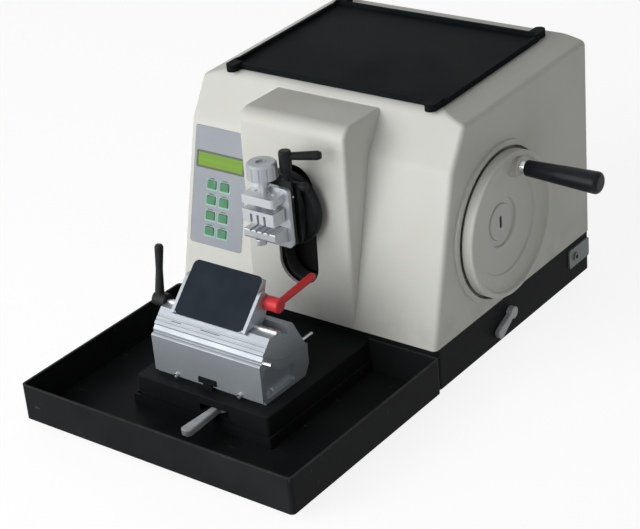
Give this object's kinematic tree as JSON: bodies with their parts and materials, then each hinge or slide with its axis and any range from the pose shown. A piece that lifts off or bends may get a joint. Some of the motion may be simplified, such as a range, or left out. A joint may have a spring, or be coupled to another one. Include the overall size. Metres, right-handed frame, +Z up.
{
  "type": "rotary microtome",
  "caption": "Bench rotary microtome: leaning moulded casing, side crank handwheel, stroking specimen clamp, tilting knife holder and waste tray.",
  "frame": {"origin": "middle of the overall footprint, on the bench", "axes": "+X to the handwheel side, +Y to the rear, +Z up"},
  "size_m": [0.4798, 0.6046, 0.3195],
  "materials": {
    "cast_black": "satin powder coat",
    "tray_black": "satin",
    "case_white": "fine moulded",
    "panel_grey": "smooth membrane",
    "display_olive": "smooth",
    "display_green": "backlit",
    "key_green": "smooth",
    "mat_black": "matt",
    "grip_black": "gloss",
    "lever_grey": "satin",
    "lever_black": "satin",
    "lever_red": "gloss",
    "steel": "ground",
    "aluminium": "satin anodised",
    "plate_blue_black": "satin",
    "iron": "machined",
    "rubber": "matt",
    "brass": "turned",
    "board_green": "solder mask",
    "plate_grey": "satin",
    "inlet_black": "moulded"
  },
  "bodies": {
    "base": {"chassis": "cast_black", "rubber_feet": "rubber", "socket_plate": "plate_grey", "t_rail": "cast_black", "casing": "case_white", "slot_liner": "inlet_black", "control_panel": "panel_grey", "display_frame": "display_olive", "display_glass": "display_green", "key_board": "board_green", "shaft_bearings": "steel", "inner_frame": "iron", "column_rails": "steel", "control_board": "board_green", "mains_inlet": "inlet_black"},
    "waste_tray_body": {"waste_tray": "tray_black"},
    "top_tray_body": {"top_tray": "mat_black"},
    "drive": {"handwheel": "case_white", "hub_cap": "case_white", "crank_pin": "steel", "main_shaft": "steel", "crank_disc": "iron"},
    "grip": {"crank_grip": "grip_black"},
    "wheel_lock_body": {"wheel_lock": "lever_grey"},
    "carriage_body": {"carriage": "iron", "carriage_rails": "steel", "dust_curtain": "rubber", "motor_bracket": "aluminium", "feed_motor": "lever_black"},
    "block_body": {"slide_block": "brass"},
    "screw_body": {"feed_screw": "steel"},
    "arm": {"specimen_arm": "cast_black", "feed_nut": "brass"},
    "x_tilt": {"x_tilt_block": "lever_black"},
    "tilt_lock_body": {"tilt_lock": "lever_black"},
    "z_tilt": {"z_tilt_block": "lever_black", "clamp_frame": "aluminium"},
    "head_lever": {"clamp_lever": "lever_black"},
    "jaw": {"clamp_jaw": "aluminium"},
    "knob": {"clamp_knob": "aluminium"},
    "holder": {"holder_base": "aluminium", "holder_screws": "steel", "base_pin": "steel"},
    "segment": {"tilt_segment": "aluminium", "segment_pin": "steel"},
    "side_lever_body": {"side_lever": "lever_black"},
    "blade_slide": {"blade_carriage": "aluminium"},
    "plate": {"pressure_plate": "plate_blue_black"},
    "red_lever": {"blade_lever": "lever_red", "clamp_shaft": "steel"},
    "holder_lock_body": {"holder_lock": "lever_grey"},
    "rocker": {"power_rocker": "inlet_black"},
    "key_1_body": {"key_1": "key_green"},
    "key_2_body": {"key_2": "key_green"},
    "key_3_body": {"key_3": "key_green"},
    "key_4_body": {"key_4": "key_green"},
    "key_5_body": {"key_5": "key_green"},
    "key_6_body": {"key_6": "key_green"},
    "key_7_body": {"key_7": "key_green"},
    "key_8_body": {"key_8": "key_green"}
  },
  "joints": [
    {"name": "handwheel_turn", "type": "hinge", "parent": "base", "child": "drive", "pos_m": [0.1256, 0.1037, 0.1567], "axis": [1, 0, 0], "continuous": true},
    {"name": "grip_spin", "type": "hinge", "parent": "drive", "child": "grip", "pos_m": [0.1856, 0.12593, 0.21778], "axis": [1, 0, 0], "continuous": true},
    {"name": "wheel_lock_turn", "type": "hinge", "parent": "base", "child": "wheel_lock_body", "pos_m": [0.1256, 0.1153, 0.038], "axis": [1, 0, 0], "range_deg": [-60, 0]},
    {"name": "specimen_stroke", "type": "slide", "parent": "base", "child": "carriage_body", "axis": [0, 0, 1], "range_m": [-0.06, 0]},
    {"name": "yoke_block_slide", "type": "slide", "parent": "carriage_body", "child": "block_body", "axis": [0, 1, 0], "range_m": [-0.03, 0.03]},
    {"name": "feed_screw_turn", "type": "hinge", "parent": "carriage_body", "child": "screw_body", "pos_m": [-0.0544, 0.0753, 0.199], "axis": [0, 1, 0], "range_deg": [0, 5040]},
    {"name": "specimen_feed", "type": "slide", "parent": "carriage_body", "child": "arm", "axis": [0, -1, 0], "range_m": [0, 0.028]},
    {"name": "head_tilt", "type": "hinge", "parent": "arm", "child": "x_tilt", "pos_m": [-0.0544, -0.1087, 0.199], "axis": [1, 0, 0], "range_deg": [-6, 6]},
    {"name": "tilt_lock_turn", "type": "hinge", "parent": "x_tilt", "child": "tilt_lock_body", "pos_m": [-0.0224, -0.0569, 0.2365], "axis": [1, 0, 0], "range_deg": [0, 90]},
    {"name": "head_swivel", "type": "hinge", "parent": "x_tilt", "child": "z_tilt", "pos_m": [-0.0544, -0.1087, 0.199], "axis": [0, 0, 1], "range_deg": [-8, 8]},
    {"name": "clamp_lever_turn", "type": "hinge", "parent": "z_tilt", "child": "head_lever", "pos_m": [-0.0334, -0.0646, 0.245], "axis": [0, 0, 1], "range_deg": [-70, 0]},
    {"name": "clamp_knob_turn", "type": "hinge", "parent": "jaw", "child": "knob", "pos_m": [-0.0544, -0.0797, 0.25], "axis": [0, 0, 1], "range_deg": [-1080, 360]},
    {"name": "jaw_slide", "type": "slide", "parent": "z_tilt", "child": "jaw", "axis": [0, 0, 1], "range_m": [-0.006, 0.002]},
    {"name": "holder_travel", "type": "slide", "parent": "base", "child": "holder", "axis": [0, -1, 0], "range_m": [-0.028, 0.012]},
    {"name": "clearance_tilt", "type": "hinge", "parent": "holder", "child": "segment", "pos_m": [-0.0544, -0.1407, 0.166], "axis": [1, 0, 0], "range_deg": [-5, 5]},
    {"name": "side_lever_turn", "type": "hinge", "parent": "segment", "child": "side_lever_body", "pos_m": [-0.1394, -0.1707, 0.12341], "axis": [1, 0, 0], "range_deg": [0, 70]},
    {"name": "lateral_slide", "type": "slide", "parent": "segment", "child": "blade_slide", "axis": [1, 0, 0], "range_m": [-0.012, 0.012]},
    {"name": "blade_lever_turn", "type": "hinge", "parent": "blade_slide", "child": "red_lever", "pos_m": [0.0026, -0.14819, 0.14239], "axis": [1, 0, 0], "range_deg": [0, 80]},
    {"name": "pressure_plate_open", "type": "hinge", "parent": "blade_slide", "child": "plate", "pos_m": [-0.0124, -0.1856, 0.12407], "axis": [1, 0, 0], "range_deg": [0, 8]},
    {"name": "holder_lock_turn", "type": "hinge", "parent": "base", "child": "holder_lock_body", "pos_m": [-0.0364, -0.2067, 0.037], "axis": [0, 0, 1], "range_deg": [-25, 25]},
    {"name": "waste_tray_pull", "type": "slide", "parent": "base", "child": "waste_tray_body", "axis": [0, -1, 0], "range_m": [0, 0.12]},
    {"name": "top_tray_lift", "type": "slide", "parent": "base", "child": "top_tray_body", "axis": [0, 0, 1], "range_m": [0, 0.04]},
    {"name": "power_rocker_turn", "type": "hinge", "parent": "base", "child": "rocker", "pos_m": [-0.1324, 0.2983, 0.036], "axis": [0, 0, 1], "range_deg": [0, 8]},
    {"name": "key_1_press", "type": "slide", "parent": "base", "child": "key_1_body", "axis": [0, 0.9677, -0.2521], "range_m": [0, 0.0008], "stiffness_N_per_m": 600, "springref_m": -0.0004},
    {"name": "key_2_press", "type": "slide", "parent": "base", "child": "key_2_body", "axis": [0, 0.9677, -0.2521], "range_m": [0, 0.0008], "stiffness_N_per_m": 600, "springref_m": -0.0004},
    {"name": "key_3_press", "type": "slide", "parent": "base", "child": "key_3_body", "axis": [0, 0.9677, -0.2521], "range_m": [0, 0.0008], "stiffness_N_per_m": 600, "springref_m": -0.0004},
    {"name": "key_4_press", "type": "slide", "parent": "base", "child": "key_4_body", "axis": [0, 0.9677, -0.2521], "range_m": [0, 0.0008], "stiffness_N_per_m": 600, "springref_m": -0.0004},
    {"name": "key_5_press", "type": "slide", "parent": "base", "child": "key_5_body", "axis": [0, 0.9677, -0.2521], "range_m": [0, 0.0008], "stiffness_N_per_m": 600, "springref_m": -0.0004},
    {"name": "key_6_press", "type": "slide", "parent": "base", "child": "key_6_body", "axis": [0, 0.9677, -0.2521], "range_m": [0, 0.0008], "stiffness_N_per_m": 600, "springref_m": -0.0004},
    {"name": "key_7_press", "type": "slide", "parent": "base", "child": "key_7_body", "axis": [0, 0.9677, -0.2521], "range_m": [0, 0.0008], "stiffness_N_per_m": 600, "springref_m": -0.0004},
    {"name": "key_8_press", "type": "slide", "parent": "base", "child": "key_8_body", "axis": [0, 0.9677, -0.2521], "range_m": [0, 0.0008], "stiffness_N_per_m": 600, "springref_m": -0.0004}
  ],
  "couplings": [
    {"joint": "feed_screw_turn", "follows": "specimen_feed", "rad_per_m": 3141.6},
    {"joint": "clamp_knob_turn", "follows": "jaw_slide", "rad_per_m": 3141.6},
    {"joint": "pressure_plate_open", "follows": "blade_lever_turn", "ratio": 0.1}
  ]
}
